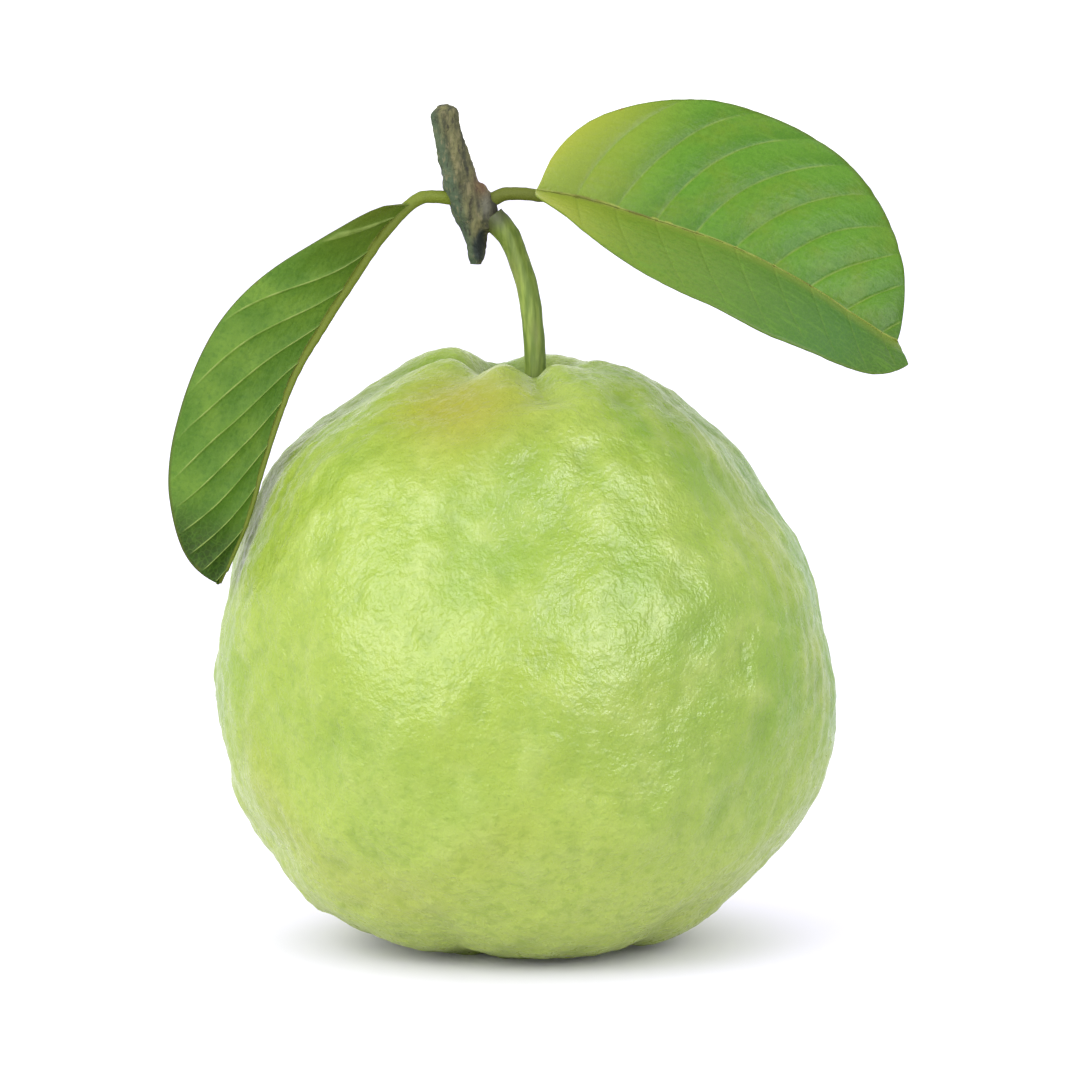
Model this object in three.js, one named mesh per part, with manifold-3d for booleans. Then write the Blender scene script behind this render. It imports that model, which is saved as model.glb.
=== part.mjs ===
// A ripe guava as picked, standing on its blossom end: the fruit with its dried calyx, the green
// stalk, the cut piece of woody twig that the stalk grew from, and the twig's two opposite leaves.
// Millimetres, +Z up. The fruit rests on Z = 0, and its front faces -Y.
import * as THREE from "three";
import { mergeVertices } from "three/addons/utils/BufferGeometryUtils.js";
import Module from "manifold-3d";

const wasm = await Module();
wasm.setup();

// Driving dimensions of the whole
const AXIS_X = -2; // the fruit's axis, seen from the middle of the whole thing's box
const AXIS_Y = 0.05;
const CONTACT_GAP = 0.3; // between pieces that touch

// Driving dimensions of the fruit
const FRUIT_RADIUS = 45.2;
const FRUIT_HEIGHT = 86;
const WAIST_HEIGHT = 40; // where the fruit is widest
const BASIN_RADIUS = 9.5; // the hollow round the calyx, at the blossom end
const BASIN_DEPTH = 4.5;
const FOOT_RADIUS = 14.5; // the outer edge of the spot that the fruit rests on
const RIM_RADIUS = 13; // the crest round the stalk's cavity
const CAVITY_DEPTH = 9;
const FRUIT_TURNS = 64; // facets round the axis
const FRUIT_RINGS = 34; // facets from the blossom end to the stalk
const EVEN_BELOW = 8; // the height under which the broad unevenness fades away towards the foot

// Furrows that run out from the stalk's cavity over the shoulder: azimuth in degrees (0 is +X, 270
// faces -Y), depth, half-width in degrees, and the height where each has died away.
const SHOULDER_FURROWS = [
  { azimuth: 182, depth: 1.9, spread: 15, fades: 62 },
  { azimuth: 354, depth: 1.6, spread: 13, fades: 52 },
  { azimuth: 280, depth: 1.8, spread: 9, fades: 79 },
  { azimuth: 308, depth: 0.6, spread: 12, fades: 74 },
  { azimuth: 236, depth: 0.6, spread: 13, fades: 76 },
  { azimuth: 60, depth: 0.6, spread: 14, fades: 70 },
  { azimuth: 106, depth: 2.4, spread: 19, fades: 60 },
];
// Shallow furrows between the low lobes round the blossom end, by azimuth in degrees.
const BASE_FURROWS = [25, 75, 130, 170, 209, 247, 318];
const BASE_FURROW_DEPTH = 1.0;
const BASE_FURROW_SPREAD = 9;
const BASE_FURROW_FADES = 17;

// Broad unevenness of the skin: how many waves to the radian along X, Y and Z, and their height.
const LUMPS = [
  { wave: [0.11, 0.05, 0.09], phase: 0.4, height: 0.45 },
  { wave: [-0.07, 0.13, 0.12], phase: 2.1, height: 0.4 },
  { wave: [0.19, -0.12, 0.08], phase: 4.0, height: 0.28 },
  { wave: [0.06, 0.2, -0.21], phase: 1.2, height: 0.24 },
  { wave: [-0.27, 0.1, 0.24], phase: 5.3, height: 0.18 },
];

// Driving dimensions of the calyx
const CALYX_RADIUS = 4.4;
const CALYX_WALL = 1.1;
const CALYX_TURNS = 20; // facets round the cup
const CALYX_LOWEST = 0.7; // how far the calyx stays above what the fruit rests on
const SEPALS = 5;
const SEPAL_LENGTH = 3.7;
const SEPAL_WIDTH = 4.8;
const SEPAL_THICKNESS = 0.8;
const SEPAL_DROP = 0.75; // from its foot to its tip

// Driving dimensions of the stalk and twig
const STALK_RADIUS = 1.5;
const STALK_FOOT_RADIUS = 1.75;
const TWIG_TOP_RADIUS = 1.95;
const TWIG_NODE_RADIUS = 2.6;
const TWIG_END_RADIUS = 1.25;
// Places along the twig, from 0 at the top to 1: where it starts to swell, its node, and where it has
// thinned to its broken end
const SWELLS_FROM = 0.1;
const NODE_PLACE = 0.62;
const THINNED_BY = 0.97;
const NODE_KNOB = [2.3, 2.4, 4.1]; // half sizes of the swelling that bears the stalk
const KNOB_LEAN = 24; // degrees, its lower end out
const KNOB_MIDDLE = [-6.5, -0.2, 108.2];
const HOLLOW = [1.1, 1.3, 2.3]; // half sizes of the hollow in the twig's broken lower end
const HOLLOW_MIDDLE = [-5.8, -1.1, 102.6];
const ROUND_SIDES = 16; // facets round the twig and the stalk
const TWIG_STEPS = 18;
const STALK_STEPS = 26;

// Driving dimensions of the leaves
const BLADE_THICKNESS = 0.7;
const SIDE_VEINS = 10; // on each half of a blade
const VEINS_OPEN_BY = 0.08; // the place along the rib by which the side veins have turned forward
const PETIOLE_RADIUS = 1.05;
const RIB_END_RADIUS = 0.25;
const RIB_END = 0.97; // where the raised rib dies away, as a share of the way to the blade's end
const RIB_SUNK = 0.45; // how far the rib's middle is below the blade's, as a share of its radius
const RIB_KNOTS = 8; // points under the blade that the raised rib is drawn through
const RIB_SIDES = 8;
const RIB_STEPS = 34;
const BLADE_ROWS = 4 * SIDE_VEINS;
const CLOSE_ROWS_BELOW = 0.1; // the place along the rib up to which there are twice as many rows
const HALF_COLUMNS = 6;
const HALVINGS = 24; // steps that close in on the margin

const RADIANS = Math.PI / 180;
const at = (x, y, z) => new THREE.Vector3(x, y, z);

// 0 below low, 1 above high, and smooth between.
function ramp(low, high, value) {
  return THREE.MathUtils.smoothstep(value, low, high);
}

function bell(offset, spread) {
  return Math.exp(-((offset / spread) ** 2));
}

// The angle from b to a in degrees, from -180 to 180.
function turnBetween(a, b) {
  return ((((a - b) % 360) + 540) % 360) - 180;
}

function smoothCurve(points) {
  return new THREE.CatmullRomCurve3(points, false, "catmullrom", 0.5);
}

// Joins rings of points, each the same number round, into one closed surface with an end point at
// each end. The rings run anticlockwise about the way they follow each other.
function ringGeometry(rings, firstPoint, lastPoint) {
  const round = rings[0].length;
  const points = [firstPoint, ...rings.flat(), lastPoint];
  const last = points.length - 1;
  const faces = [];
  for (let j = 0; j < round; j++) {
    const next = (j + 1) % round;
    faces.push(0, 1 + next, 1 + j);
    faces.push(last, last - round + j, last - round + next);
    for (let i = 0; i + 1 < rings.length; i++) {
      const low = 1 + i * round;
      const high = low + round;
      faces.push(low + j, low + next, high + next);
      faces.push(low + j, high + next, high + j);
    }
  }
  return new THREE.BufferGeometry().setFromPoints(points).setIndex(faces);
}

// A bar of changing radius along a curve. radiusAt takes the place along it, 0 to 1, and the angle.
function barGeometry(curve, steps, sides, radiusAt) {
  const frames = curve.computeFrenetFrames(steps, false);
  const rings = [];
  for (let i = 0; i <= steps; i++) {
    const middle = curve.getPointAt(i / steps);
    const ring = [];
    for (let j = 0; j < sides; j++) {
      const angle = (2 * Math.PI * j) / sides;
      const radius = radiusAt(i / steps, angle);
      ring.push(
        middle
          .clone()
          .addScaledVector(frames.normals[i], radius * Math.cos(angle))
          .addScaledVector(frames.binormals[i], radius * Math.sin(angle)),
      );
    }
    rings.push(ring);
  }
  return ringGeometry(rings, curve.getPointAt(0), curve.getPointAt(1));
}

// Joins two faces of the same grid of points, the upper one in rows of points and the lower one
// below it, into one closed plate.
function plateGeometry(upper, lower) {
  const rows = upper.length;
  const columns = upper[0].length;
  const points = [...upper.flat(), ...lower.flat()];
  const top = (i, j) => i * columns + j;
  const under = (i, j) => rows * columns + i * columns + j;
  const faces = [];
  const quad = (a, b, c, d) => faces.push(a, b, c, a, c, d);
  for (let i = 0; i + 1 < rows; i++) {
    for (let j = 0; j + 1 < columns; j++) {
      faces.push(top(i, j), top(i + 1, j), top(i + 1, j + 1));
      faces.push(top(i, j), top(i + 1, j + 1), top(i, j + 1));
      faces.push(under(i, j), under(i + 1, j + 1), under(i + 1, j));
      faces.push(under(i, j), under(i, j + 1), under(i + 1, j + 1));
    }
    quad(top(i, 0), under(i, 0), under(i + 1, 0), top(i + 1, 0));
    const j = columns - 1;
    quad(top(i + 1, j), under(i + 1, j), under(i, j), top(i, j));
  }
  for (let j = 0; j + 1 < columns; j++) {
    quad(top(0, j + 1), under(0, j + 1), under(0, j), top(0, j));
    const i = rows - 1;
    quad(top(i, j), under(i, j), under(i, j + 1), top(i, j + 1));
  }
  return new THREE.BufferGeometry().setFromPoints(points).setIndex(faces);
}

function solidFrom(geometry) {
  const bare = geometry.clone();
  bare.deleteAttribute("normal");
  bare.deleteAttribute("uv");
  const merged = mergeVertices(bare, 1e-4);
  const vertProperties = new Float32Array(merged.attributes.position.array);
  const triVerts = new Uint32Array(merged.index.array);
  return new wasm.Manifold(new wasm.Mesh({ numProp: 3, vertProperties, triVerts }));
}

function geometryFrom(solid) {
  const mesh = solid.getMesh();
  return new THREE.BufferGeometry()
    .setAttribute("position", new THREE.BufferAttribute(mesh.vertProperties, 3))
    .setIndex(new THREE.BufferAttribute(mesh.triVerts, 1));
}

// The fruit's outline from the middle of the blossom end out, up and in to the stalk: [radius, height].
const FRUIT_OUTLINE = smoothCurve(
  [
    [0, BASIN_DEPTH],
    [0.58 * BASIN_RADIUS, 0.82 * BASIN_DEPTH],
    [BASIN_RADIUS, 0.4],
    [0.5 * (BASIN_RADIUS + FOOT_RADIUS), -0.5],
    [FOOT_RADIUS + 2, 0.4],
    [0.55 * FRUIT_RADIUS, 2.6],
    [0.74 * FRUIT_RADIUS, 8.6],
    [0.875 * FRUIT_RADIUS, 16.8],
    [0.965 * FRUIT_RADIUS, 26],
    [FRUIT_RADIUS, WAIST_HEIGHT],
    [0.955 * FRUIT_RADIUS, 53.6],
    [0.85 * FRUIT_RADIUS, 64.2],
    [0.708 * FRUIT_RADIUS, 74.6],
    [0.485 * FRUIT_RADIUS, 82.4],
    [RIM_RADIUS + 1, FRUIT_HEIGHT - 0.4],
    [RIM_RADIUS - 3, FRUIT_HEIGHT - 0.6],
    [0.5 * RIM_RADIUS, FRUIT_HEIGHT - 0.42 * CAVITY_DEPTH],
    [0.25 * RIM_RADIUS, FRUIT_HEIGHT - 0.85 * CAVITY_DEPTH],
    [0, FRUIT_HEIGHT - CAVITY_DEPTH],
  ].map(([radius, height]) => at(radius, 0, height)),
);

// How far the fruit leans to one side at a height: its shoulder and its foot, a little to -X.
function axisLean(height) {
  return -1.9 * bell(height - 73, 10) - 0.3 * bell(height - 40, 20) - 0.8 * bell(height - 8, 6);
}

function fruitPoint(along, azimuth) {
  const outline = FRUIT_OUTLINE.getPoint(along);
  const [radius, height] = [outline.x, outline.z];
  const inside = ramp(0, 7, radius); // the middles of the cavity and of the basin stay smooth
  let swell = 0;
  for (const furrow of SHOULDER_FURROWS) {
    const off = turnBetween(azimuth, furrow.azimuth);
    swell -= furrow.depth * bell(off, furrow.spread) * ramp(furrow.fades, FRUIT_HEIGHT - 3, height);
  }
  for (const furrow of BASE_FURROWS) {
    const off = turnBetween(azimuth, furrow);
    const fade = 1 - ramp(2, BASE_FURROW_FADES, height);
    swell -= BASE_FURROW_DEPTH * bell(off, BASE_FURROW_SPREAD) * fade * ramp(8, 14, radius);
  }
  const x = radius * Math.cos(azimuth * RADIANS);
  const y = radius * Math.sin(azimuth * RADIANS);
  const uneven = ramp(0, EVEN_BELOW, height);
  for (const { wave, phase, height: size } of LUMPS) {
    swell += uneven * size * Math.sin(wave[0] * x + wave[1] * y + wave[2] * height + phase);
  }
  const middle = at(0, 0, WAIST_HEIGHT);
  const point = at(x, y, height);
  const outward = point.clone().sub(middle).normalize();
  point.addScaledVector(outward, swell * inside);
  point.x += axisLean(height) * inside;
  point.z = Math.max(point.z, 0);
  return point;
}

function fruitGeometry() {
  const rings = [];
  for (let i = 1; i < FRUIT_RINGS; i++) {
    const ring = [];
    for (let j = 0; j < FRUIT_TURNS; j++) {
      ring.push(fruitPoint(i / FRUIT_RINGS, (360 * j) / FRUIT_TURNS));
    }
    rings.push(ring);
  }
  return ringGeometry(rings, fruitPoint(0, 0), fruitPoint(1, 0));
}

// The dried calyx: a shallow cup in the middle of the basin, open downward, with sepals round it.
function calyxSolid() {
  const top = BASIN_DEPTH - CONTACT_GAP;
  const hollowTop = top - CALYX_WALL;
  const cup = new THREE.LatheGeometry(
    [
      new THREE.Vector2(0, hollowTop),
      new THREE.Vector2(CALYX_RADIUS - 1.6 * CALYX_WALL, hollowTop),
      new THREE.Vector2(CALYX_RADIUS - CALYX_WALL, CALYX_LOWEST + 0.5),
      new THREE.Vector2(CALYX_RADIUS - 0.4 * CALYX_WALL, CALYX_LOWEST + 0.2),
      new THREE.Vector2(CALYX_RADIUS, CALYX_LOWEST + 0.9),
      new THREE.Vector2(CALYX_RADIUS + 0.1, top - 0.8),
      new THREE.Vector2(0.5 * CALYX_RADIUS, top - 0.1),
      new THREE.Vector2(0, top),
    ],
    CALYX_TURNS,
  ).rotateX(Math.PI / 2);
  let calyx = solidFrom(cup);
  for (let k = 0; k < SEPALS; k++) {
    calyx = calyx.add(solidFrom(sepalGeometry((360 * (k + 0.3)) / SEPALS)));
  }
  return calyx;
}

// One sepal, curling out under the basin's wall and down to a point.
function sepalGeometry(azimuth) {
  const rows = 5;
  const columns = 2;
  const upper = [];
  const lower = [];
  for (let i = 0; i <= rows; i++) {
    const along = i / rows;
    const halfWidth = 0.5 * SEPAL_WIDTH * (1 - 0.86 * along ** 1.5);
    const out = CALYX_RADIUS - 0.8 * CALYX_WALL + SEPAL_LENGTH * along;
    const middle = CALYX_LOWEST + 1.6 - SEPAL_DROP * Math.sin(0.55 * Math.PI * along);
    const top = [];
    const under = [];
    for (let j = 0; j <= columns; j++) {
      const across = (2 * j) / columns - 1;
      const cupped = 0.5 * across * across * (1 - along);
      const point = at(out, halfWidth * across, middle + cupped);
      point.applyAxisAngle(at(0, 0, 1), azimuth * RADIANS);
      top.push(point.clone().add(at(0, 0, 0.5 * SEPAL_THICKNESS)));
      under.push(point.clone().sub(at(0, 0, 0.5 * SEPAL_THICKNESS)));
    }
    upper.push(top);
    lower.push(under);
  }
  return plateGeometry(upper, lower);
}

const TWIG_LINE = smoothCurve([
  at(-11.9, -2.2, 122.9),
  at(-10.7, -1.2, 117),
  at(-9.3, -0.4, 111.2),
  at(-7.6, 0, 107),
  at(-7.1, 0.1, 103),
  at(-7.2, 0.2, 99.8),
]);

// The twig's radius: even down to the node, swollen there, and thinning to the broken lower end.
function twigRadius(along, angle) {
  const towardNode = ramp(SWELLS_FROM, NODE_PLACE, along);
  const above = THREE.MathUtils.lerp(TWIG_TOP_RADIUS, TWIG_NODE_RADIUS, towardNode);
  const below = THREE.MathUtils.lerp(above, TWIG_END_RADIUS, ramp(NODE_PLACE, THINNED_BY, along));
  const bark = 0.1 * Math.sin(5 * angle + 9 * along) + 0.07 * Math.sin(3 * angle - 14 * along);
  return below + bark;
}

// extra makes the twig larger all round, to cut room for it out of what grows from it.
function twigSolid(extra) {
  const radiusAt = (along, angle) => twigRadius(along, angle) + extra;
  const bar = barGeometry(TWIG_LINE, TWIG_STEPS, ROUND_SIDES, radiusAt);
  const knob = new THREE.SphereGeometry(1, ROUND_SIDES, 10)
    .rotateX(Math.PI / 2)
    .scale(...NODE_KNOB.map((halfSize) => halfSize + extra))
    .rotateY(-KNOB_LEAN * RADIANS)
    .translate(...KNOB_MIDDLE);
  const whole = solidFrom(bar).add(solidFrom(knob));
  if (extra > 0) return whole;
  const hollow = new THREE.SphereGeometry(1, 12, 8).scale(...HOLLOW).translate(...HOLLOW_MIDDLE);
  return whole.subtract(solidFrom(hollow));
}

const STALK_LINE = smoothCurve([
  at(1.2, 0, FRUIT_HEIGHT - CAVITY_DEPTH - 0.5),
  at(1.5, -0.3, 84.2),
  at(1.2, -0.6, 90.4),
  at(0.4, -0.8, 96.3),
  at(-0.9, -0.8, 100.4),
  at(-2.3, -0.7, 103.8),
  at(-4.8, -0.5, 106.8),
]);

function stalkSolid(fruit, twigRoom) {
  const radiusAt = (along, angle) => {
    const foot = (STALK_FOOT_RADIUS - STALK_RADIUS) * (1 - ramp(0, 0.2, along));
    const head = 0.25 * ramp(0.8, 0.95, along);
    return STALK_RADIUS * (1 + 0.04 * Math.cos(4 * angle)) + foot + head;
  };
  return solidFrom(barGeometry(STALK_LINE, STALK_STEPS, ROUND_SIDES, radiusAt))
    .subtract(fruit.translate(0, 0, CONTACT_GAP))
    .subtract(twigRoom);
}

// A half blade's width from rib to margin as a share of its widest, by place along the rib. It comes
// away from the petiole by opens and meets the rib again at ends.
function bladeOutline(half, along) {
  const { base, tip, opens, ends } = half.taper;
  const widest = base / (base + tip);
  const place = THREE.MathUtils.clamp(along / ends, 1e-5, 1 - 1e-5);
  const rounded = (place / widest) ** base * ((1 - place) / (1 - widest)) ** tip;
  return rounded * ramp(-0.3 * opens, opens, place);
}

// How far a row that follows the side veins runs forward by the time it is this far out.
function veinSweep(leaf, row, out) {
  const { start, rise, growth, hook } = leaf.sweep;
  const slant = (start + rise * row) * ramp(-0.02, VEINS_OPEN_BY, row);
  return (slant * out * (1 + growth * out + hook * out ** 3)) / leaf.length;
}

// The margin's distance from the rib, along a row that follows the side veins.
function rowReach(leaf, half, row) {
  let low = 0;
  let high = half.width;
  for (let turn = 0; turn < HALVINGS; turn++) {
    const out = 0.5 * (low + high);
    const margin = half.width * bladeOutline(half, row + veinSweep(leaf, row, out));
    if (out < margin) low = out;
    else high = out;
  }
  return low;
}

// A half's direction away from the rib, between its three stated directions: at the base, in the
// middle and at the tip.
function spreadAt(half, along, tangent) {
  const [base, middle, tip] = half.spread;
  const way =
    along < 0.5
      ? base.clone().lerp(middle, ramp(0, 0.5, along))
      : middle.clone().lerp(tip, ramp(0.5, 1, along));
  return way.addScaledVector(tangent, -way.dot(tangent)).normalize();
}

// A point of the blade's middle layer and its normal on the upper side. across runs from -1 at one
// margin through 0 at the rib to 1 at the other.
function bladePoint(leaf, row, across) {
  const half = across < 0 ? leaf.minus : leaf.plus;
  const share = Math.abs(across);
  const out = share * rowReach(leaf, half, row);
  const along = Math.min(row + veinSweep(leaf, row, out), 0.995);
  const middle = leaf.rib.getPointAt(along);
  const tangent = leaf.rib.getTangentAt(along);
  const spread = spreadAt(half, along, tangent);
  const upward = across < 0 ? spread.clone().cross(tangent) : tangent.clone().cross(spread);
  const bend = (half.curl * RADIANS) / half.width;
  const turned = bend * out;
  const sideways = Math.abs(turned) < 1e-6 ? out : Math.sin(turned) / bend;
  const lifted = Math.abs(turned) < 1e-6 ? 0 : (1 - Math.cos(turned)) / bend;
  const normal = upward.clone().multiplyScalar(Math.cos(turned));
  normal.addScaledVector(spread, -Math.sin(turned));
  const vein = Math.abs(Math.sin(Math.PI * (row * SIDE_VEINS + leaf.veinShift))) ** 0.7;
  const quilt = half.quilt * vein * Math.sin(Math.PI * Math.min(share, 0.98)) ** 0.6;
  const phase = across < 0 ? 2 : 0;
  const wave = leaf.wave * share ** 3 * Math.sin(leaf.waves * 2 * Math.PI * row + phase);
  const point = middle.addScaledVector(spread, sideways).addScaledVector(upward, lifted);
  point.addScaledVector(normal, quilt + wave);
  return { point, normal };
}

// The places along the rib where the blade's rows start.
function rowPlaces(leaf) {
  const places = [];
  for (let i = 0; i / BLADE_ROWS < leaf.bladeEnd; i++) {
    places.push(i / BLADE_ROWS);
    if (i / BLADE_ROWS < CLOSE_ROWS_BELOW) places.push((i + 0.5) / BLADE_ROWS);
  }
  return [...places, leaf.bladeEnd];
}

function bladeGeometry(leaf) {
  const upper = [];
  const lower = [];
  for (const row of rowPlaces(leaf)) {
    const top = [];
    const under = [];
    for (let j = -HALF_COLUMNS; j <= HALF_COLUMNS; j++) {
      const across = j / HALF_COLUMNS;
      const { point, normal } = bladePoint(leaf, row, across);
      if (j === 0) normal.add(bladePoint(leaf, row, -1e-6).normal).normalize();
      top.push(point.clone().addScaledVector(normal, 0.5 * BLADE_THICKNESS));
      under.push(point.clone().addScaledVector(normal, -0.5 * BLADE_THICKNESS));
    }
    upper.push(top);
    lower.push(under);
  }
  return plateGeometry(upper, lower);
}

// One leaf: the blade with the petiole that runs on under it as the rib.
function leafSolid(leaf, twigRoom) {
  const radiusAt = (along) => THREE.MathUtils.lerp(PETIOLE_RADIUS, RIB_END_RADIUS, along ** 0.8);
  const ribPoints = [];
  for (let i = 1; i <= RIB_KNOTS; i++) {
    const along = (leaf.bladeEnd * RIB_END * i) / RIB_KNOTS;
    const { point, normal } = bladePoint(leaf, along, 1e-6);
    normal.add(bladePoint(leaf, along, -1e-6).normal).normalize();
    ribPoints.push(point.addScaledVector(normal, -RIB_SUNK * radiusAt(along)));
  }
  const line = smoothCurve([...leaf.petiole, ...ribPoints]);
  const bar = solidFrom(barGeometry(line, RIB_STEPS, RIB_SIDES, radiusAt));
  return solidFrom(bladeGeometry(leaf)).add(bar).subtract(twigRoom);
}

function leafWith(shape) {
  const rib = smoothCurve(shape.ribPoints);
  return { ...shape, rib, length: rib.getLength() };
}

// The leaf on the -X side hangs, folded along its rib with its underside outward.
const LEAF_LEFT = leafWith({
  petiole: [at(-9.2, -0.3, 109.2), at(-12.6, -0.6, 109.6), at(-16, -1.1, 109)],
  ribPoints: [
    at(-15.5, -1.0, 109.0),
    at(-20.3, -2.2, 105.2),
    at(-26.5, -4.4, 95.9),
    at(-33.5, -7.6, 84.2),
    at(-37.4, -10.4, 72.9),
    at(-40.5, -12.6, 62.4),
    at(-44.1, -13.6, 54.0),
  ],
  plus: {
    width: 14.75,
    taper: { base: 0.7, tip: 0.43, opens: 0.08, ends: 0.993 },
    spread: [at(-0.3, -0.9, 0.1), at(-0.64, -0.66, 0.36), at(-0.7, -0.5, 0.3)],
    curl: 42,
    quilt: 0.35,
  },
  minus: {
    width: 13.3,
    taper: { base: 0.7, tip: 0.43, opens: 0.08, ends: 0.993 },
    spread: [at(0.3, 0.9, -0.1), at(-0.4, 0.85, 0.2), at(-0.5, 0.75, 0.2)],
    curl: 20,
    quilt: 0.35,
  },
  sweep: { start: 1.54, rise: 1.17, growth: -0.02, hook: 6e-5 },
  veinShift: 0.5, // the first side vein is half a vein's distance up the rib
  bladeEnd: 0.99,
  wave: 0.2,
  waves: 3,
});

// The leaf on the +X side reaches out, half folded, with its upper side to the front. Its blade ends
// in a small notch between the two halves.
const LEAF_RIGHT = leafWith({
  petiole: [at(-5.0, -0.2, 109.2), at(-1.4, -0.6, 110.1)],
  ribPoints: [
    at(1.5, -1.0, 110.4),
    at(8.8, -2.4, 109.1),
    at(17.8, -4.4, 106.5),
    at(29.5, -6.4, 102.7),
    at(40.3, -7.8, 97.4),
    at(47.7, -8.4, 92.6),
    at(52.2, -8.8, 89.8),
    at(56.7, -9.2, 87.4),
  ],
  plus: {
    width: 23.65,
    taper: { base: 0.617, tip: 0.655, opens: 0.02, ends: 0.943 },
    spread: [at(0.15, 0.3, 0.95), at(0.35, 0.35, 0.85), at(0.4, 0.4, 0.8)],
    curl: -26.3,
    quilt: 0.45,
  },
  minus: {
    width: 18.4,
    taper: { base: 0.43, tip: 0.42, opens: 0.02, ends: 1 },
    spread: [at(-0.05, -1, -0.02), at(-0.14, -0.95, -0.28), at(-0.1, -0.9, -0.4)],
    curl: -17.2,
    quilt: 0.12,
  },
  sweep: { start: 0.17, rise: 0.32, growth: 0.048, hook: 3e-5 },
  veinShift: 0,
  bladeEnd: 0.945,
  wave: 0.25,
  waves: 3,
});

const FINISHES = {
  fruit: { color: 0xb9d468, roughness: 0.38 },
  calyx: { color: 0x6b4d2e, roughness: 0.9 },
  stalk: { color: 0x8ba548, roughness: 0.6 },
  twig: { color: 0x6d6548, roughness: 0.9 },
  leaf: { color: 0x5f9638, roughness: 0.5 },
};

function meshOf(name, solid, finish) {
  const geometry = geometryFrom(solid);
  geometry.computeVertexNormals();
  const material = new THREE.MeshStandardMaterial({ ...FINISHES[finish], metalness: 0 });
  const mesh = new THREE.Mesh(geometry, material);
  mesh.name = name;
  return mesh;
}

const fruit = solidFrom(fruitGeometry());
const twigRoom = twigSolid(CONTACT_GAP);

const guava = new THREE.Group();
guava.add(
  meshOf("fruit", fruit, "fruit"),
  meshOf("calyx", calyxSolid(), "calyx"),
  meshOf("fruit_stalk", stalkSolid(fruit, twigRoom), "stalk"),
  meshOf("twig", twigSolid(0), "twig"),
  meshOf("leaf_left", leafSolid(LEAF_LEFT, twigRoom), "leaf"),
  meshOf("leaf_right", leafSolid(LEAF_RIGHT, twigRoom), "leaf"),
);
guava.position.set(AXIS_X, AXIS_Y, 0);

export default guava;
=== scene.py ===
"""The looks of a ripe guava with its dried calyx, green stalk, cut piece of twig and two leaves.

Every form repeats the part's own formulas with finer facets, then adds low relief and colour. Lengths
are millimetres until a mesh is made, +Z is up and the front faces -Y.
"""

import math

import bpy
import numpy as np
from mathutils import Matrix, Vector


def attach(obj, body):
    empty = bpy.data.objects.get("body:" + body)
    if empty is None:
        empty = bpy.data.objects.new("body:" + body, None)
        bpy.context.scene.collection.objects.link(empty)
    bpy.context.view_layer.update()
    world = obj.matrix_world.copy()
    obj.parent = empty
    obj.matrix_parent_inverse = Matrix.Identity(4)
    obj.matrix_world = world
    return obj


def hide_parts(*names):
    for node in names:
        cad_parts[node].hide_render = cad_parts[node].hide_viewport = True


MM = 0.001

# Driving dimensions, the same as the part's own
AXIS = np.array([-2.0, 0.05, 0.0])  # the fruit's axis in the part's frame
CONTACT_GAP = 0.3

FRUIT_RADIUS = 45.2
FRUIT_HEIGHT = 86.0
WAIST_HEIGHT = 40.0
BASIN_RADIUS = 9.5
BASIN_DEPTH = 4.5
FOOT_RADIUS = 14.5
RIM_RADIUS = 13.0
CAVITY_DEPTH = 9.0
EVEN_BELOW = 8.0

# Azimuth, depth, half-width in degrees and the height where each furrow has died away
SHOULDER_FURROWS = [
    (182, 1.9, 15, 62),
    (354, 1.6, 13, 52),
    (280, 1.8, 9, 79),
    (308, 0.6, 12, 74),
    (236, 0.6, 13, 76),
    (60, 0.6, 14, 70),
    (106, 2.4, 19, 60),
]
BASE_FURROWS = [25, 75, 130, 170, 209, 247, 318]
BASE_FURROW_DEPTH = 1.0
BASE_FURROW_SPREAD = 9.0
BASE_FURROW_FADES = 17.0

# Waves to the radian along X, Y and Z, phase and height of the broad unevenness
LUMPS = [
    ((0.11, 0.05, 0.09), 0.4, 0.45),
    ((-0.07, 0.13, 0.12), 2.1, 0.4),
    ((0.19, -0.12, 0.08), 4.0, 0.28),
    ((0.06, 0.2, -0.21), 1.2, 0.24),
    ((-0.27, 0.1, 0.24), 5.3, 0.18),
]

CALYX_RADIUS = 4.4
CALYX_WALL = 1.1
CALYX_LOWEST = 0.7
SEPALS = 5
SEPAL_LENGTH = 3.7
SEPAL_WIDTH = 4.8
SEPAL_THICKNESS = 0.8
SEPAL_DROP = 0.75

STALK_RADIUS = 1.5
STALK_FOOT_RADIUS = 1.75
TWIG_TOP_RADIUS = 1.95
TWIG_NODE_RADIUS = 2.6
TWIG_END_RADIUS = 1.25
NODE_PLACE = 0.62
NODE_KNOB = np.array([2.3, 2.4, 4.1])
KNOB_LEAN = 24.0
KNOB_MIDDLE = np.array([-6.5, -0.2, 108.2])
HOLLOW = np.array([1.1, 1.3, 2.3])
HOLLOW_MIDDLE = np.array([-5.8, -1.1, 102.6])

SIDE_VEINS = 10
VEINS_OPEN_BY = 0.08
PETIOLE_RADIUS = 1.05
RIB_END_RADIUS = 0.25
RIB_END = 0.97
RIB_SUNK = 0.45
RIB_KNOTS = 8
BLADE_THICKNESS = 0.42
MARGIN_THICKNESS = 0.2
BLADE_LAST = 0.995  # the last place along the rib that a point of the blade may have

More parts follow.
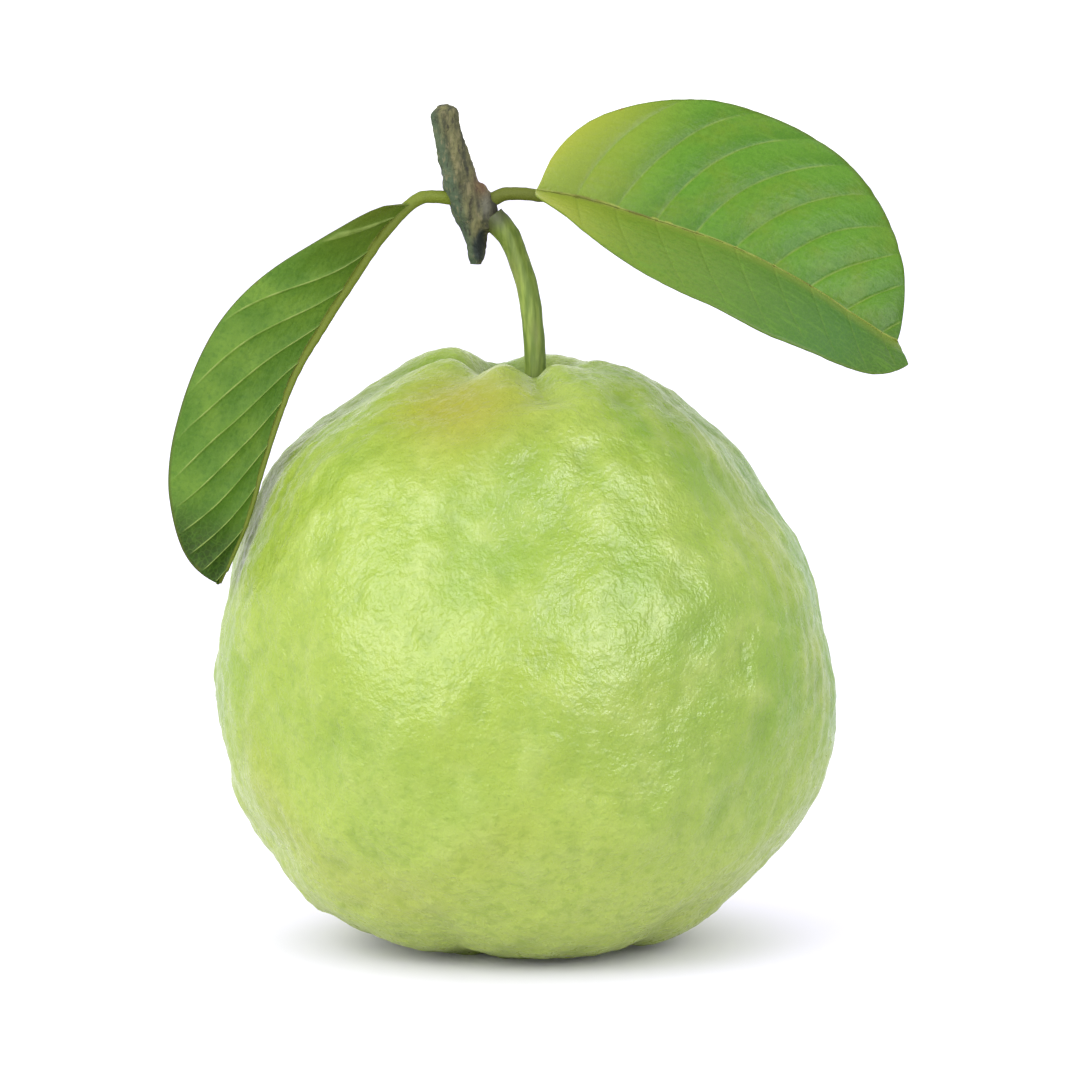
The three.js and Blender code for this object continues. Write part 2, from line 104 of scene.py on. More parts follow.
# Facets of the fine pieces
FRUIT_TURNS = 360
FRUIT_RINGS = 268
BAR_SIDES = 96
STALK_RINGS = 200
STALK_RINGS_BURIED = 4
TWIG_RINGS = 300
RIB_RINGS = 300
RIB_SIDES = 32
CALYX_RINGS = 60
CALYX_SIDES = 120
SEPAL_ROWS = 30
SEPAL_COLUMNS = 19
ROWS_BETWEEN_VEINS = 24
HALF_COLUMNS = 34
HALVINGS = 24  # how often the search for the margin halves its range

SOFTBOX_DISTANCE = 900.0
FLOOR_SIZE = 6000.0
FLOOR_COLOR = (0.87, 0.84, 1.0, 1.0)  # a touch of violet, so that the shadow isn't greenish beside the fruit
SURROUND = 1.5  # the white surround's strength
STUDIO_LIGHT = 2.3  # how much brighter than its own colour the studio makes a surface look

# The camera: its height angle, its distance and what it looks at
CAMERA_ELEVATION = 6.0
CAMERA_DISTANCE = 800.0
CAMERA_LENS = 184.3
CAMERA_AIM = np.array([AXIS[0] + 1.32, AXIS[1], 60.3])


def ramp(low, high, value):
    """0 below low, 1 above high, and smooth between."""
    share = np.clip((value - low) / (high - low), 0.0, 1.0)
    return share * share * (3.0 - 2.0 * share)


def bell(offset, spread):
    return np.exp(-((offset / spread) ** 2))


def lerp(start, end, share):
    return start + (end - start) * share


def turn_between(a, b):
    """The angle from b to a in degrees, from -180 to 180."""
    return (a - b + 540.0) % 360.0 - 180.0


def unit(vectors):
    return vectors / np.linalg.norm(vectors, axis=-1, keepdims=True)


def unevenness(points, seed, wavelength, count=30):
    """An even random unevenness of about unit height, made of plane waves near one wavelength."""
    draw = np.random.default_rng(seed)
    ways = unit(draw.normal(size=(count, 3)))
    lengths = wavelength * draw.uniform(0.75, 1.4, count)
    phases = draw.uniform(0.0, 2.0 * math.pi, count)
    waves = 2.0 * math.pi * ways / lengths[:, None]
    return math.sqrt(2.0 / count) * np.sin(points @ waves.T + phases).sum(-1)


class Curve:
    """A smooth curve through points, with places given as shares of its length."""

    def __init__(self, points):
        given = np.array(points, float)
        before = 2.0 * given[0] - given[1]
        after = 2.0 * given[-1] - given[-2]
        self.points = np.vstack([before, given, after])
        self.spans = len(given) - 1
        self.steps = np.linspace(0.0, 1.0, 201)
        pieces = np.linalg.norm(np.diff(self.at(self.steps), axis=0), axis=1)
        self.reach = np.concatenate([[0.0], np.cumsum(pieces)])
        self.length = self.reach[-1]

    def at(self, step):
        place = np.clip(step, 0.0, 1.0) * self.spans
        span = np.minimum(place.astype(int), self.spans - 1)
        s = (place - span)[..., None]
        a, b, c, d = (self.points[span + k] for k in range(4))
        bend = (2.0 * a - 5.0 * b + 4.0 * c - d) * s**2
        twist = (3.0 * b - a - 3.0 * c + d) * s**3
        return 0.5 * (2.0 * b + (c - a) * s + bend + twist)

    def step_of(self, share):
        return np.interp(np.asarray(share, float) * self.length, self.reach, self.steps)

    def along(self, share):
        return self.at(self.step_of(share))

    def tangent(self, share):
        step = self.step_of(share)
        ahead = self.at(np.minimum(step + 1e-4, 1.0))
        behind = self.at(np.maximum(step - 1e-4, 0.0))
        return unit(ahead - behind)


def frames_along(curve, shares):
    """Middles, and two directions across the curve that turn with it as little as they can."""
    tangents = curve.tangent(shares)
    least = np.zeros(3)
    least[2 - int(np.argmin(np.abs(tangents[0][::-1])))] = 1.0
    normal = np.cross(tangents[0], unit(np.cross(tangents[0], least)))
    normals = [normal]
    for before, tangent in zip(tangents, tangents[1:]):
        axis = np.cross(before, tangent)
        size = np.linalg.norm(axis)
        if size > 1e-12:
            axis = axis / size
            angle = math.acos(max(-1.0, min(1.0, float(before @ tangent))))
            turned = normal * math.cos(angle) + np.cross(axis, normal) * math.sin(angle)
            normal = turned + axis * (axis @ normal) * (1.0 - math.cos(angle))
        normals.append(normal)
    normals = np.array(normals)
    return curve.along(shares), normals, np.cross(tangents, normals)


def make_object(name, points, faces, attributes):
    """A mesh object from points in millimetres round the fruit's axis, with a value at each point."""
    mesh = bpy.data.meshes.new(name)
    mesh.from_pydata(((points + AXIS) * MM).tolist(), [], faces)
    mesh.validate()
    for key, values in attributes.items():
        layer = mesh.attributes.new(key, "FLOAT", "POINT")
        layer.data.foreach_set("value", np.asarray(values, np.float32).ravel())
    mesh.shade_smooth()
    made = bpy.data.objects.new(name, mesh)
    bpy.context.scene.collection.objects.link(made)
    return made


def ring_faces(rings, around):
    """Quads between rings of points, with a fan to the point before the first and after the last."""
    faces = []
    last = rings * around + 1
    for j in range(around):
        after = (j + 1) % around
        faces.append((0, 1 + after, 1 + j))
        faces.append((last, last - around + j, last - around + after))
        for i in range(rings - 1):
            low = 1 + i * around
            high = low + around
            faces.append((low + j, low + after, high + after, high + j))
    return faces


def joined_rings(grid, first, last):
    """The points that ring_faces joins, from a grid of rings and the two end points."""
    return np.vstack([first[None], grid.reshape(-1, 3), last[None]])


def on_rings(values, first, last):
    """One value for each point of joined_rings."""
    return np.concatenate([[first], values.ravel(), [last]])


# The fruit's outline from the middle of the blossom end out, up and in to the stalk
FRUIT_OUTLINE = Curve(
    [
        (radius, 0.0, height)
        for radius, height in [
            (0, BASIN_DEPTH),
            (0.58 * BASIN_RADIUS, 0.82 * BASIN_DEPTH),
            (BASIN_RADIUS, 0.4),
            (0.5 * (BASIN_RADIUS + FOOT_RADIUS), -0.5),
            (FOOT_RADIUS + 2, 0.4),
            (0.55 * FRUIT_RADIUS, 2.6),
            (0.74 * FRUIT_RADIUS, 8.6),
            (0.875 * FRUIT_RADIUS, 16.8),
            (0.965 * FRUIT_RADIUS, 26),
            (FRUIT_RADIUS, WAIST_HEIGHT),
            (0.955 * FRUIT_RADIUS, 53.6),
            (0.85 * FRUIT_RADIUS, 64.2),
            (0.708 * FRUIT_RADIUS, 74.6),
            (0.485 * FRUIT_RADIUS, 82.4),
            (RIM_RADIUS + 1, FRUIT_HEIGHT - 0.4),
            (RIM_RADIUS - 3, FRUIT_HEIGHT - 0.6),
            (0.5 * RIM_RADIUS, FRUIT_HEIGHT - 0.42 * CAVITY_DEPTH),
            (0.25 * RIM_RADIUS, FRUIT_HEIGHT - 0.85 * CAVITY_DEPTH),
            (0, FRUIT_HEIGHT - CAVITY_DEPTH),
        ]
    ]
)


def axis_lean(height):
    """How far the fruit leans to one side at a height."""
    shoulder = -1.9 * bell(height - 73, 10)
    return shoulder - 0.3 * bell(height - 40, 20) - 0.8 * bell(height - 8, 6)


def furrow_depth(radius, height, azimuth):
    """How far the furrows of the shoulder and of the base draw the skin in."""
    depth = np.zeros_like(height)
    for middle, deep, spread, fades in SHOULDER_FURROWS:
        off = turn_between(azimuth, middle)
        depth += deep * bell(off, spread) * ramp(fades, FRUIT_HEIGHT - 3, height)
    low = (1.0 - ramp(2, BASE_FURROW_FADES, height)) * ramp(8, 14, radius)
    for middle in BASE_FURROWS:
        off = turn_between(azimuth, middle)
        depth += BASE_FURROW_DEPTH * bell(off, BASE_FURROW_SPREAD) * low
    return depth


def skin_relief(place, radius, height, azimuth):
    """The low relief of the skin: pebbles, dimples, long wrinkles and the puckers at both ends."""
    pebbles = 0.045 * unevenness(place, 11, 2.6) + 0.02 * unevenness(place, 12, 1.7)
    dimples = 0.1 * unevenness(place, 13, 6.5)
    angle = np.radians(azimuth)
    spun = np.stack([np.cos(angle), np.sin(angle)], -1)
    drawn_out = np.concatenate([FRUIT_RADIUS * spun, 0.14 * height[..., None]], -1)
    sides = 0.25 + 0.75 * np.abs(np.cos(angle)) ** 1.6
    wrinkles = 0.08 * unevenness(drawn_out, 14, 3.4) * sides * ramp(6, 24, height)
    wrinkles *= 1.0 - 0.7 * ramp(74, 82, height)
    pucker_place = np.concatenate([7.0 * spun, 0.2 * height[..., None]], -1)
    near_rim = ramp(78, 84.5, height) * ramp(1.5, 6, radius) * (1.0 - ramp(13, 24, radius))
    puckers = 0.32 * unevenness(pucker_place, 15, 3.6) * near_rim
    near_basin = (1.0 - ramp(0.2, 3, height)) * ramp(2, 6, radius) * (1.0 - ramp(9, 11, radius))
    puckers += 0.2 * unevenness(pucker_place, 16, 3.2) * near_basin
    return pebbles + dimples + wrinkles + puckers


def fruit_points(step, azimuth):
    """Points of the skin, with the furrows' depth and the relief's height at each."""
    outline = FRUIT_OUTLINE.at(step)
    radius = outline[..., 0]
    height = outline[..., 2]
    inside = ramp(0, 7, radius)
    angle = np.radians(azimuth)
    place = np.stack([radius * np.cos(angle), radius * np.sin(angle), height], -1)
    furrows = furrow_depth(radius, height, azimuth)
    swell = -furrows
    uneven = ramp(0, EVEN_BELOW, height)
    for wave, phase, size in LUMPS:
        swell = swell + uneven * size * np.sin(place @ np.array(wave) + phase)
    relief = skin_relief(place, radius, height, azimuth)
    outward = unit(place - np.array([0.0, 0.0, WAIST_HEIGHT]))
    points = place + outward * (swell * inside + relief * ramp(0, 3, radius))[..., None]
    points[..., 0] += axis_lean(height) * inside
    points[..., 2] = np.maximum(points[..., 2], 0.0)
    return points, furrows, relief


def make_fruit():
    steps = FRUIT_OUTLINE.step_of(np.arange(1, FRUIT_RINGS) / FRUIT_RINGS)
    azimuths = 360.0 * np.arange(FRUIT_TURNS) / FRUIT_TURNS
    step, azimuth = np.meshgrid(steps, azimuths, indexing="ij")
    grid, furrows, relief = fruit_points(step, azimuth)
    ends, _, _ = fruit_points(np.array([0.0, 1.0]), np.zeros(2))
    points = joined_rings(grid, ends[0], ends[1])
    radius = np.hypot(points[:, 0], points[:, 1])
    # The stalk's cavity, which the material darkens with painted shade, partly the skin's own duller tone
    # there
    hidden = (1.0 - ramp(5, 12, radius)) * ramp(70, 80, points[:, 2])
    attributes = {
        # low: painted light, which lightens the skin toward the floor against the shade near it
        "low": 1.0 - ramp(4, 42, points[:, 2]),
        "furrow": on_rings(furrows, 0.0, 0.0),
        "relief": on_rings(relief, 0.0, 0.0),
        "cavity": hidden,
        "ripe": ripeness_and_side_shade(points),
        "blush": blush(points),
    }
    return make_object("guava_fruit", points, ring_faces(FRUIT_RINGS - 1, FRUIT_TURNS), attributes)


def ripeness_and_side_shade(points):
    """From 0, still green, to 1, yellow: greener to +X, over the shoulders and low down. The greening to +X
    is partly the skin's own green and partly painted shade on the side away from the stronger left softbox.
    """
    x, y, z = points.T
    # Partly painted shade: the first term darkens the +X side, away from the stronger left softbox
    green = 0.62 * ramp(4, 40, x) + 0.3 * ramp(66, 84, z) * ramp(10, 34, np.abs(x + 4))
    green += 0.1 * (1.0 - ramp(2, 26, z)) + 0.18 * ramp(-20, 20, y)
    patches = 0.14 * unevenness(points, 21, 34.0) + 0.08 * unevenness(points, 22, 13.0)
    return np.clip(0.85 - green + patches, 0.0, 1.0)


def blush(points):
    """The warm yellow patch just left of the stalk, and faint ones elsewhere."""
    patch = bell(np.linalg.norm((points - np.array([-8.5, -22.0, 81.0])) * [0.8, 0.6, 1.0], axis=1), 8.0)
    faint = ramp(1.1, 2.4, unevenness(points, 23, 30.0))
    return np.clip(patch + 0.2 * faint, 0.0, 1.0)


def bar_grid(curve, steps, sides, radius_at):
    """Rings of points round a curve. radius_at takes the place along it and the angle round it."""
    shares = np.linspace(0.0, 1.0, steps + 1)
    middles, normals, binormals = frames_along(curve, shares)
    angles = 2.0 * math.pi * np.arange(sides) / sides
    along, angle = np.meshgrid(shares, angles, indexing="ij")
    out = normals[:, None] * np.cos(angle)[..., None] + binormals[:, None] * np.sin(angle)[..., None]
    radius = radius_at(along, angle, middles[:, None], out)
    return middles[:, None] + out * radius[..., None], along


STALK_LINE = Curve(
    [
        (1.2, 0, FRUIT_HEIGHT - CAVITY_DEPTH - 0.5),
        (1.5, -0.3, 84.2),
        (1.2, -0.6, 90.4),
        (0.4, -0.8, 96.3),
        (-0.9, -0.8, 100.4),
        (-2.3, -0.7, 103.8),
        (-4.8, -0.5, 106.8),
    ]
)


def stalk_radius(along, angle, middle, out):
    foot = (STALK_FOOT_RADIUS - STALK_RADIUS) * (1.0 - ramp(0, 0.2, along))
    head = 0.25 * ramp(0.8, 0.95, along)
    ridges = STALK_RADIUS * (1.0 + 0.04 * np.cos(4 * angle))
    place = middle + out * ridges[..., None]
    stretched = place * np.array([1.0, 1.0, 0.3])
    return ridges + foot + head + 0.015 * unevenness(stretched, 31, 0.9) + 0.012 * unevenness(place, 32, 2.5)


def make_stalk():
    grid, along = bar_grid(STALK_LINE, STALK_RINGS, BAR_SIDES, stalk_radius)
    grid = grid[STALK_RINGS_BURIED:]
    along = along[STALK_RINGS_BURIED:]
    points = joined_rings(grid, grid[0].mean(0), grid[-1].mean(0))
    attributes = {"along": on_rings(along, 0.0, 1.0)}
    return make_object("green_stalk", points, ring_faces(len(grid), BAR_SIDES), attributes)


TWIG_LINE = Curve(
    [
        (-11.9, -2.2, 122.9),
        (-10.7, -1.2, 117),
        (-9.3, -0.4, 111.2),
        (-7.6, 0, 107),
        (-7.1, 0.1, 103),
        (-7.2, 0.2, 99.8),
    ]
)


def ellipsoid_reach(start, way, middle, half_sizes, lean):
    """Where rays enter and leave a leaning ellipsoid, as two distances, or zeros where they miss."""
    turn = math.radians(lean)
    cosine = math.cos(turn)
    sine = math.sin(turn)
    upright = np.array([[cosine, 0.0, sine], [0.0, 1.0, 0.0], [-sine, 0.0, cosine]])
    origin = (start - middle) @ upright.T / half_sizes
    heading = way @ upright.T / half_sizes
    a = (heading**2).sum(-1)
    b = (origin * heading).sum(-1)
    c = (origin**2).sum(-1) - 1.0
    inside = b * b - a * c
    root = np.sqrt(np.maximum(inside, 0.0))
    hit = inside > 0.0
    return np.where(hit, (-b - root) / a, 0.0), np.where(hit, (-b + root) / a, 0.0)


def smooth_larger(a, b, blend):
    share = np.clip(0.5 + 0.5 * (a - b) / blend, 0.0, 1.0)
    return lerp(b, a, share) + blend * share * (1.0 - share)


def twig_radius(along, angle, middle, out):
    """The bark's distance from the twig's line: the bar, the knob at the node and the hollow below it."""
    above = lerp(TWIG_TOP_RADIUS, TWIG_NODE_RADIUS, ramp(0.1, NODE_PLACE, along))
    bar = lerp(above, TWIG_END_RADIUS, ramp(NODE_PLACE, 0.97, along))
    bar = bar + 0.1 * np.sin(5 * angle + 9 * along) + 0.07 * np.sin(3 * angle - 14 * along)
    start = np.broadcast_to(middle, out.shape)
    _, knob = ellipsoid_reach(start, out, KNOB_MIDDLE, NODE_KNOB, KNOB_LEAN)
    radius = smooth_larger(bar, np.maximum(knob, 0.0), 0.5)
    place = middle + out * radius[..., None]
    drawn_out = place * np.array([1.0, 1.0, 0.22])
    cracks = np.abs(unevenness(drawn_out, 41, 1.5))
    bark = 0.06 * unevenness(drawn_out, 42, 1.1) + 0.025 * unevenness(place, 43, 0.8)
    bark += 0.05 * unevenness(place, 44, 2.4) - 0.12 * (1.0 - ramp(0.0, 0.16, cracks))
    radius = radius + bark
    entry, leave = ellipsoid_reach(start, out, HOLLOW_MIDDLE, HOLLOW, 0.0)
    carved = np.where((leave > 0.0) & (entry < radius), np.maximum(entry, 0.35), radius)
    worn = 1.0 - 0.55 * bell(along, 0.022) - 0.35 * bell(1.0 - along, 0.03)
    return np.minimum(radius, carved) * worn


def make_twig():
    grid, _ = bar_grid(TWIG_LINE, TWIG_RINGS, BAR_SIDES, twig_radius)
    points = joined_rings(grid, grid[0].mean(0), grid[-1].mean(0))
    return make_object("woody_twig", points, ring_faces(len(grid), BAR_SIDES), twig_patches(points))


def patch_at(points, middle, half_sizes):
    """A soft patch round a place, 1 in its middle."""
    offset = (points - np.array(middle)) / np.array(half_sizes)
    return np.exp(-((offset**2).sum(-1)))


def twig_patches(points):
    """Where the bark is green, red-brown, pale and scarred, and where the hollow is darkened with painted
    shade.
    """
    hollow = patch_at(points, HOLLOW_MIDDLE - [0.6, 0.0, 0.0], HOLLOW * 1.1)
    return {
        "hollow": hollow,
        "collar": patch_at(points, (-4.3, -1.0, 108.2), (0.9, 3.0, 3.0)),
        "scar": patch_at(points, (-5.4, -3.0, 108.6), (0.9, 2.0, 1.8)),
        "rust": patch_at(points, (-6.1, -1.6, 111.4), (1.4, 2.6, 1.7)),
        "mossy": ramp(0.2, 1.2, -(points[:, 0] + 8.9 + 0.28 * (points[:, 2] - 112.0)) / 1.6),
    }


def blade_outline(half, along):
    base, tip, opens, ends = half["taper"]
    widest = base / (base + tip)
    place = np.clip(along / ends, 1e-5, 1.0 - 1e-5)
    rounded = (place / widest) ** base * ((1.0 - place) / (1.0 - widest)) ** tip
    return rounded * ramp(-0.3 * opens, opens, place)


def vein_sweep(leaf, row, out):
    """How far a row that follows the side veins runs forward by the time it is this far out."""
    start, rise, growth, hook = leaf["sweep"]
    slant = (start + rise * row) * ramp(-0.02, VEINS_OPEN_BY, row)
    return slant * out * (1.0 + growth * out + hook * out**3) / leaf["rib"].length


def row_reach(leaf, half, row):
    """The margin's distance from the rib, along a row that follows the side veins."""
    low = np.zeros_like(row)
    high = np.full_like(row, half["width"])
    for _ in range(HALVINGS):
        out = 0.5 * (low + high)
        short = out < half["width"] * blade_outline(half, row + vein_sweep(leaf, row, out))
        low = np.where(short, out, low)
        high = np.where(short, high, out)
    return low


def spread_at(half, along, tangent):
    """A half's direction away from the rib, square to it."""
    base, middle, tip = (np.array(way, float) for way in half["spread"])
    early = lerp(base, middle, ramp(0, 0.5, along)[..., None])
    late = lerp(middle, tip, ramp(0.5, 1, along)[..., None])
    way = np.where((along < 0.5)[..., None], early, late)
    return unit(way - tangent * (way * tangent).sum(-1, keepdims=True))


def half_blade(leaf, half, side, row, share):
    """Points of the middle layer of one half, their normals on the upper side and their distance out."""
    out = share * row_reach(leaf, half, row)
    along = np.minimum(row + vein_sweep(leaf, row, out), BLADE_LAST)
    tangent = leaf["rib"].tangent(along)
    spread = spread_at(half, along, tangent)
    upward = side * np.cross(tangent, spread)
    bend = math.radians(half["curl"]) / half["width"]
    turned = (bend * out)[..., None]
    normal = upward * np.cos(turned) - spread * np.sin(turned)
    vein = np.abs(np.sin(math.pi * (row * SIDE_VEINS + leaf["vein_shift"]))) ** 0.7
    quilt = half["quilt"] * vein * np.sin(math.pi * np.minimum(share, 0.98)) ** 0.6
    phase = 2.0 if side < 0 else 0.0
    wave = leaf["wave"] * share**3 * np.sin(leaf["waves"] * 2.0 * math.pi * row + phase)
    point = leaf["rib"].along(along)
    point = point + spread * np.sin(turned) / bend + upward * (1.0 - np.cos(turned)) / bend
    return point + normal * (quilt + wave)[..., None], normal, out


LEAF_LEFT = {
    "petiole": [(-9.2, -0.3, 109.2), (-12.6, -0.6, 109.6), (-16.0, -1.1, 109.0)],
    "rib": Curve(
        [
            (-15.5, -1.0, 109.0),
            (-20.3, -2.2, 105.2),
            (-26.5, -4.4, 95.9),
            (-33.5, -7.6, 84.2),
            (-37.4, -10.4, 72.9),
            (-40.5, -12.6, 62.4),
            (-44.1, -13.6, 54.0),
        ]
    ),
    "plus": {
        "width": 14.75,
        "taper": (0.7, 0.43, 0.08, 0.993),
        "spread": [(-0.3, -0.9, 0.1), (-0.64, -0.66, 0.36), (-0.7, -0.5, 0.3)],
        "curl": 42.0,
        "quilt": 0.35,
    },
    "minus": {
        "width": 13.3,
        "taper": (0.7, 0.43, 0.08, 0.993),
        "spread": [(0.3, 0.9, -0.1), (-0.4, 0.85, 0.2), (-0.5, 0.75, 0.2)],
        "curl": 20.0,
        "quilt": 0.35,
    },
    "sweep": (1.54, 1.17, -0.02, 6e-5),
    "vein_shift": 0.5,
    "blade_end": 0.99,
    "wave": 0.2,
    "waves": 3,
    "seed": 71,
}

LEAF_RIGHT = {
    "petiole": [(-5.0, -0.2, 109.2), (-1.4, -0.6, 110.1)],
    "rib": Curve(
        [
            (1.5, -1.0, 110.4),
            (8.8, -2.4, 109.1),
            (17.8, -4.4, 106.5),
            (29.5, -6.4, 102.7),
            (40.3, -7.8, 97.4),
            (47.7, -8.4, 92.6),
            (52.2, -8.8, 89.8),
            (56.7, -9.2, 87.4),
        ]
    ),
    "plus": {
        "width": 23.65,
        "taper": (0.617, 0.655, 0.02, 0.943),
        "spread": [(0.15, 0.3, 0.95), (0.35, 0.35, 0.85), (0.4, 0.4, 0.8)],
        "curl": -26.3,
        "quilt": 0.45,
    },
    "minus": {
        "width": 18.4,
        "taper": (0.43, 0.42, 0.02, 1.0),
        "spread": [(-0.05, -1, -0.02), (-0.14, -0.95, -0.28), (-0.1, -0.9, -0.4)],
        "curl": -17.2,
        "quilt": 0.12,
    },
    "sweep": (0.17, 0.32, 0.048, 3e-5),
    "vein_shift": 0.0,
    "blade_end": 0.945,
    "wave": 0.25,
    "waves": 3,
    "seed": 72,
}


def plate_faces(rows, columns):
    """Faces of a closed plate between an upper grid of points and the same grid below it."""
    faces = []
    below = rows * columns
    for i in range(rows - 1):
        for j in range(columns - 1):
            a = i * columns + j
            b = a + columns
            faces.append((a, b, b + 1, a + 1))
            faces.append((below + a, below + a + 1, below + b + 1, below + b))
        a = i * columns
        b = a + columns
        faces.append((a, below + a, below + b, b))
        a += columns - 1
        b += columns - 1
        faces.append((b, below + b, below + a, a))
    for j in range(columns - 1):
        faces.append((j + 1, below + j + 1, below + j, j))
        a = (rows - 1) * columns + j
        faces.append((a, below + a, below + a + 1, a + 1))
    return faces


def vein_rows(leaf):
    """Places along the rib where rows start, closer together beside each side vein."""
    count = np.linspace(0.0, SIDE_VEINS, ROWS_BETWEEN_VEINS * SIDE_VEINS + 1) + leaf["vein_shift"]
    places = (count - 0.11 * np.sin(2.0 * math.pi * count) - leaf["vein_shift"]) / SIDE_VEINS
    return np.concatenate([places[places < leaf["blade_end"]], [leaf["blade_end"]]])


def blade_mesh(leaf):
    """The blade's points and faces, with what its colour follows at each point."""
    rows = vein_rows(leaf)
    shares = np.linspace(0.0, 1.0, HALF_COLUMNS + 1) ** 1.25
    row, share = np.meshgrid(rows, shares, indexing="ij")
    minus = half_blade(leaf, leaf["minus"], -1.0, row, share)
    plus = half_blade(leaf, leaf["plus"], 1.0, row, share)
    normal_at_rib = unit(minus[1][:, :1] + plus[1][:, :1])
    middle = np.concatenate([minus[0][:, :0:-1], plus[0]], 1)
    normal = np.concatenate([minus[1][:, :0:-1], normal_at_rib, plus[1][:, 1:]], 1)
    out = np.concatenate([minus[2][:, :0:-1], plus[2]], 1)
    is_minus = np.concatenate([np.ones_like(share[:, :0:-1]), np.zeros_like(share)], 1)
    share = np.concatenate([share[:, :0:-1], share], 1)
    row = np.concatenate([row[:, :0:-1], row], 1)
    count = row * SIDE_VEINS + leaf["vein_shift"]
    on_vein = bell((count + 0.5) % 1.0 - 0.5, 0.045) * ramp(0.0, 0.04, row)
    vein_fades = on_vein * (1.0 - ramp(0.8, 0.97, share))
    net = unevenness(middle, leaf["seed"], 1.6)
    thickness = lerp(BLADE_THICKNESS, MARGIN_THICKNESS, ramp(0.8, 1.0, share))
    upper = middle + normal * (0.5 * thickness - 0.08 * vein_fades + 0.02 * net)[..., None]
    lower = middle - normal * (0.5 * thickness + 0.13 * vein_fades + 0.015 * net)[..., None]
    rows_made, columns = row.shape
    along = np.minimum(row + vein_sweep(leaf, row, out), BLADE_LAST)
    attributes = {
        "row": np.tile(count.ravel(), 2),
        "share": np.tile(share.ravel(), 2),
        "out": np.tile(out.ravel(), 2),
        "along": np.tile(along.ravel(), 2),
        "underside": np.concatenate([np.zeros(row.size), np.ones(row.size)]),
        "minus": np.tile(is_minus.ravel(), 2),
        "rib": np.zeros(2 * row.size),
    }
    points = np.concatenate([upper.reshape(-1, 3), lower.reshape(-1, 3)])
    return points, plate_faces(rows_made, columns), attributes


def rib_mesh(leaf):
    """The petiole and the raised rib that it runs on as, under the blade."""
    alongs = RIB_END * leaf["blade_end"] * np.arange(1, RIB_KNOTS + 1) / RIB_KNOTS
    zero = np.full_like(alongs, 1e-6)
    plus_points, plus_normals, _ = half_blade(leaf, leaf["plus"], 1.0, alongs, zero)
    _, minus_normals, _ = half_blade(leaf, leaf["minus"], -1.0, alongs, zero)
    sunk = RIB_SUNK * lerp(PETIOLE_RADIUS, RIB_END_RADIUS, alongs**0.8)
    lowered = plus_points - sunk[:, None] * unit(plus_normals + minus_normals)
    line = Curve(leaf["petiole"] + lowered.tolist())

    def rib_radius(along, angle, middle, out):
        radius = lerp(PETIOLE_RADIUS, RIB_END_RADIUS, along**0.8)
        place = middle + out * radius[..., None]
        return radius + 0.03 * unevenness(place, 51, 1.8) * (1.0 - 0.6 * along)

    grid, along = bar_grid(line, RIB_RINGS, RIB_SIDES, rib_radius)
    points = joined_rings(grid, grid[0].mean(0), grid[-1].mean(0))
    count = len(points)
    attributes = {
        "row": np.full(count, 0.5),
        "share": np.zeros(count),
        "out": np.zeros(count),
        "along": on_rings(along, 0.0, 1.0),
        "underside": np.ones(count),
        "minus": np.zeros(count),
        "rib": np.ones(count),
    }
    return points, ring_faces(len(grid), RIB_SIDES), attributes


def unite(base, others):
    """Fuses closed meshes into the first one's object, as one closed surface."""
    for other in others:
        join = base.modifiers.new(other.name, "BOOLEAN")
        join.operation = "UNION"
        join.solver = "MANIFOLD"
        join.object = other
    bpy.context.view_layer.update()
    seen = base.evaluated_get(bpy.context.evaluated_depsgraph_get())
    fused = bpy.data.meshes.new_from_object(seen)
    base.modifiers.clear()
    base.data = fused
    for other in others:
        bpy.data.objects.remove(other)
    return base


def make_leaf(name, leaf):
    blade = make_object(name, *blade_mesh(leaf))
    rib = make_object(name + "_rib", *rib_mesh(leaf))
    return unite(blade, [rib])


def make_calyx():
    """The dried cup with its ragged rim, and five curled sepals round it."""
    top = BASIN_DEPTH - CONTACT_GAP
    hollow_top = top - CALYX_WALL
    profile = Curve(
        [
            (0.4, 0, hollow_top),
            (CALYX_RADIUS - 1.6 * CALYX_WALL, 0, hollow_top - 0.1),
            (CALYX_RADIUS - CALYX_WALL, 0, CALYX_LOWEST + 0.7),
            (CALYX_RADIUS - 0.4 * CALYX_WALL, 0, CALYX_LOWEST + 0.25),
            (CALYX_RADIUS, 0, CALYX_LOWEST + 0.9),
            (CALYX_RADIUS + 0.1, 0, top - 0.8),
            (0.5 * CALYX_RADIUS, 0, top - 0.1),
            (0.4, 0, top),
        ]
    )
    shares = np.linspace(0.0, 1.0, CALYX_RINGS)
    angles = 2.0 * math.pi * np.arange(CALYX_SIDES) / CALYX_SIDES
    share, angle = np.meshgrid(shares, angles, indexing="ij")
    outline = profile.along(share)
    radius = outline[..., 0]
    place = np.stack([radius * np.cos(angle), radius * np.sin(angle), outline[..., 2]], -1)
    rough = unevenness(place, 61, 1.1)
    ragged = bell(radius - CALYX_RADIUS + 0.4 * CALYX_WALL, 0.8) * (1.0 - ramp(1.2, 2.2, outline[..., 2]))
    grid = place * (1.0 + 0.012 * rough[..., None])
    grid[..., 2] = place[..., 2] + 0.3 * ragged * (1.0 + unevenness(place, 62, 1.8))
    points = joined_rings(grid, np.array([0, 0, hollow_top]), np.array([0, 0, top]))
    attributes = {"relief": on_rings(rough, 0, 0)}
    cup = make_object("dried_calyx", points, ring_faces(CALYX_RINGS, CALYX_SIDES), attributes)
    sepals = [make_sepal(360.0 * (k + 0.3) / SEPALS, k) for k in range(SEPALS)]
    return unite(cup, sepals)


